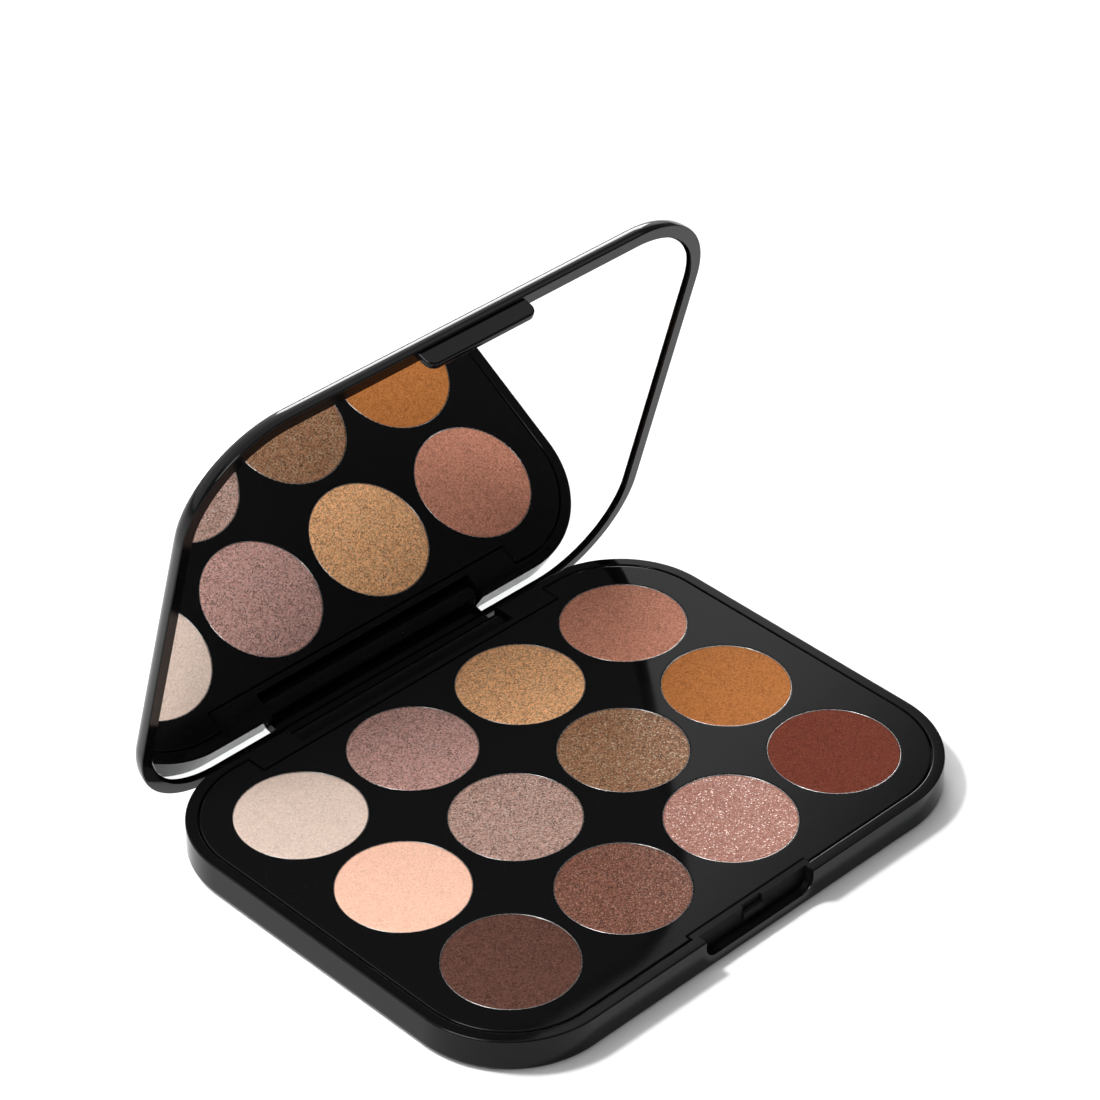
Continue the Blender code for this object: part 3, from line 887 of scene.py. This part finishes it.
def make_lid(material, back_material):
    glass_low, glass_high = MIRROR
    pocket_top = glass_high.z + PAD_SPACE
    low, high = (-LID_HALF_WIDTH, -LID_HALF_DEPTH), (LID_HALF_WIDTH, LID_HALF_DEPTH)
    shoulder = LID_TOP - LID_SIDE_HEIGHT
    lip = ((FOOT_INSET, LID_LOW, 0.0), (0.0, LID_LOW, LID_LIP_ROUND), (0.0, shoulder, 0.0))
    profile = filleted(lip)
    for step in range(1, 25):
        angle = step / 24 * math.pi / 2
        inset = LID_BACK_INSET * (1 - math.cos(angle))
        profile.append((inset, shoulder + LID_SIDE_HEIGHT * math.sin(angle)))
    profile.append((FOOT_INSET, LID_TOP))
    lid = new_object("lid_moulding", swept(low, high, LID_CORNER, profile))
    neck = block(
        (-LID_BARREL_HALF, NECK_FRONT_Y, PIVOT.z),
        (LID_BARREL_HALF, LID_HALF_DEPTH - GAP, LID_LOW + NECK_ROOT),
    )
    carve(lid, neck, "UNION")
    carve(lid, rod_along_x(-LID_BARREL_HALF, LID_BARREL_HALF, BARREL_RADIUS), "UNION")
    carve(lid, latch_tab(), "UNION")
    pocket_profile = ((0.0, LID_LOW - 2 * PAST), (0.0, pocket_top))
    pocket = swept(
        (glass_low.x - MIRROR_GAP, glass_low.y - MIRROR_GAP),
        (glass_high.x + MIRROR_GAP, glass_high.y + MIRROR_GAP),
        MIRROR_CORNER + MIRROR_GAP,
        pocket_profile,
    )
    carve(lid, pocket, "DIFFERENCE")
    for sign in (-1, 1):
        x_low, x_high = sorted((sign * (PIN_IN - GAP), sign * (LID_BARREL_HALF + PAST)))
        carve(lid, rod_along_x(x_low, x_high, PIN_BORE, 32), "DIFFERENCE")
    soften(lid, CUT_BEVEL)
    back = [face.index for face in lid.data.polygons if face.normal.z > BACK_SLOPE]
    lid.data.transform(TO_OPEN)
    finish_piece(lid, material, "lid", "black_gloss_plastic", "lid_shell")
    lid.data.materials.append(back_material)
    for index in back:
        lid.data.polygons[index].material_index = 1
    return lid


def make_mirror(material):
    low, high = MIRROR
    profile = filleted(
        (
            (FOOT_INSET, low.z, 0.0),
            (0.0, low.z, 0.00012),
            (0.0, high.z, 0.00012),
            (FOOT_INSET, high.z, 0.0),
        ),
        3,
    )
    glass = new_object("mirror_pane", swept(low, high, MIRROR_CORNER, profile))
    shade(glass)
    glass.data.transform(TO_OPEN)
    return finish_piece(glass, material, "lid", "mirror", "mirror_glass")


def dress_nodes(materials):
    """Finishes for the CAD nodes that stay as they are."""
    for node, material in materials.items():
        data = frame["nodes"][node].data
        data.materials.clear()
        data.materials.append(material)


# ----------------------------------------------------------- floor, light, camera

VIEW_AZIMUTH = -44.098
VIEW_ELEVATION = 36.036
VIEW_ROLL = -0.159
CAMERA_PLACE = (-0.40583, -0.41388, 0.48306)
CAMERA_LENS = 129.39
CAMERA_SENSOR = 36.0


def make_floor():
    bm = bmesh.new()
    bmesh.ops.create_grid(bm, x_segments=8, y_segments=8, size=4.0)
    bmesh.ops.translate(bm, vec=(0.0, 0.0, -0.0001), verts=bm.verts)
    floor = new_object("floor", bm)
    paint = Paint("pale_floor")
    cloud = paint.noise(0.4, 2.0)
    paint.set(
        Base_Color=paint.mix(cloud, (0.90, 0.90, 0.90), (0.92, 0.92, 0.92)),
        Roughness=0.9,
        Specular_IOR_Level=0.0,
    )
    floor.data.materials.append(paint.material)
    return floor


def soft_light(name, direction, distance, width, height, power, in_gloss=True):
    """A rectangular softbox that faces the object from a direction."""
    data = bpy.data.lights.new(name, "AREA")
    data.shape = "RECTANGLE"
    data.size = width
    data.size_y = height
    data.energy = power
    light = bpy.data.objects.new(name, data)
    bpy.context.scene.collection.objects.link(light)
    towards = Vector(direction).normalized()
    light.location = towards * distance
    light.rotation_euler = towards.to_track_quat("Z", "Y").to_euler()
    light.visible_camera = False
    light.visible_glossy = in_gloss
    return light


# Directions towards the lights
KEY_FROM = (-0.66, 0.02, 0.75)
FLOOR_KEY_FROM = (-0.345, 0.36, 0.867)
FILL_FROM = (-0.62, -0.48, 0.62)
STRIP_FROM = (0.80, 1.02, 0.47)

# Brightness of the room and of its two panels
ROOM_DIM = 0.16
BACK_PANEL = 1.45
TOP_PANEL = 0.95


def make_room():
    """A dim studio with one bright panel across the back and one overhead."""
    world = bpy.data.worlds.new("studio")
    world.use_nodes = True
    bpy.context.scene.world = world
    nodes, links = world.node_tree.nodes, world.node_tree.links
    direction = nodes.new("ShaderNodeSeparateXYZ")
    links.new(nodes.new("ShaderNodeTexCoord").outputs["Generated"], direction.inputs[0])

    def edge(axis, low, high, level):
        """A smooth step from 0 up to a level along one axis of the view direction."""
        node = nodes.new("ShaderNodeMapRange")
        node.interpolation_type = "SMOOTHSTEP"
        links.new(direction.outputs[axis], node.inputs["Value"])
        node.inputs["From Min"].default_value = low
        node.inputs["From Max"].default_value = high
        node.inputs["To Max"].default_value = level
        return node.outputs["Result"]

    def combined(operation, first, second):
        node = nodes.new("ShaderNodeMath")
        node.operation = operation
        links.new(first, node.inputs[0])
        if isinstance(second, float):
            node.inputs[1].default_value = second
        else:
            links.new(second, node.inputs[1])
        return node.outputs[0]

    above_floor = edge("Z", -0.02, 0.10, 1.0)
    back = combined("MULTIPLY", edge("Y", 0.475, 0.535, BACK_PANEL), above_floor)
    top = combined("MULTIPLY", edge("Y", -0.12, 0.12, TOP_PANEL), edge("Z", 0.665, 0.745, 1.0))
    level = combined("ADD", combined("MAXIMUM", back, top), ROOM_DIM)
    links.new(level, nodes["Background"].inputs["Color"])


def linked(name, objects, state):
    """A collection that tells a light which objects it reaches, or is blocked by."""
    collection = bpy.data.collections.new(name)
    for obj in objects:
        collection.objects.link(obj)
    for entry in collection.collection_objects:
        entry.light_linking.link_state = state
    return collection


def make_lights(floor, lid_pieces):
    """The key is split in two, so the floor takes the tray's contact shadow and not the lid's."""
    key = soft_light("key", KEY_FROM, 0.95, 0.42, 0.42, 8.5)
    key.light_linking.receiver_collection = linked("key_skips", [floor], "EXCLUDE")
    floor_key = soft_light("floor_key", FLOOR_KEY_FROM, 0.95, 0.13, 0.13, 7.5, in_gloss=False)
    floor_key.light_linking.receiver_collection = linked("floor_key_lights", [floor], "INCLUDE")
    floor_key.light_linking.blocker_collection = linked("floor_key_passes", lid_pieces, "EXCLUDE")
    soft_light("fill", FILL_FROM, 1.20, 0.80, 0.80, 4.0, in_gloss=False)
    soft_light("back_strip", STRIP_FROM, 1.37, 0.50, 0.46, 9.0)


def make_camera():
    data = bpy.data.cameras.new("camera")
    data.lens = CAMERA_LENS
    data.sensor_width = CAMERA_SENSOR
    data.clip_start, data.clip_end = 0.01, 20.0
    camera = bpy.data.objects.new("camera", data)
    bpy.context.scene.collection.objects.link(camera)
    turn = (
        Matrix.Rotation(math.radians(VIEW_AZIMUTH), 4, "Z")
        @ Matrix.Rotation(math.radians(90 - VIEW_ELEVATION), 4, "X")
        @ Matrix.Rotation(math.radians(VIEW_ROLL), 4, "Z")
    )
    camera.matrix_world = Matrix.Translation(CAMERA_PLACE) @ turn
    bpy.context.scene.camera = camera


def main():
    bpy.context.scene.view_settings.view_transform = "Standard"
    plastic = gloss_plastic("black_moulding", (0.0026, 0.0026, 0.0028), 0.085)
    deck_plastic = gloss_plastic("black_deck", (0.0030, 0.0030, 0.0032), 0.075)
    pan_metal = brushed_metal("drawn_tinplate", (0.55, 0.54, 0.53), 0.26, 0.0006)
    pin_metal = brushed_metal("steel_wire", (0.60, 0.60, 0.61), 0.28, 0.0003)
    matt = matt_plastic()
    make_tray(plastic, matt)
    make_deck(deck_plastic)
    make_pans(pan_metal)
    make_powders()
    lid_pieces = [
        make_lid(plastic, matt),
        make_mirror(silvered_glass()),
        frame["nodes"]["mirror_adhesive"],
    ]
    dress_nodes(
        {
            "hinge_pin_left": pin_metal,
            "hinge_pin_right": pin_metal,
            "mirror_adhesive": foam_pad(),
            "underside_label": paper_label(),
        }
    )
    floor = make_floor()
    make_room()
    make_lights(floor, lid_pieces)
    make_camera()


main()
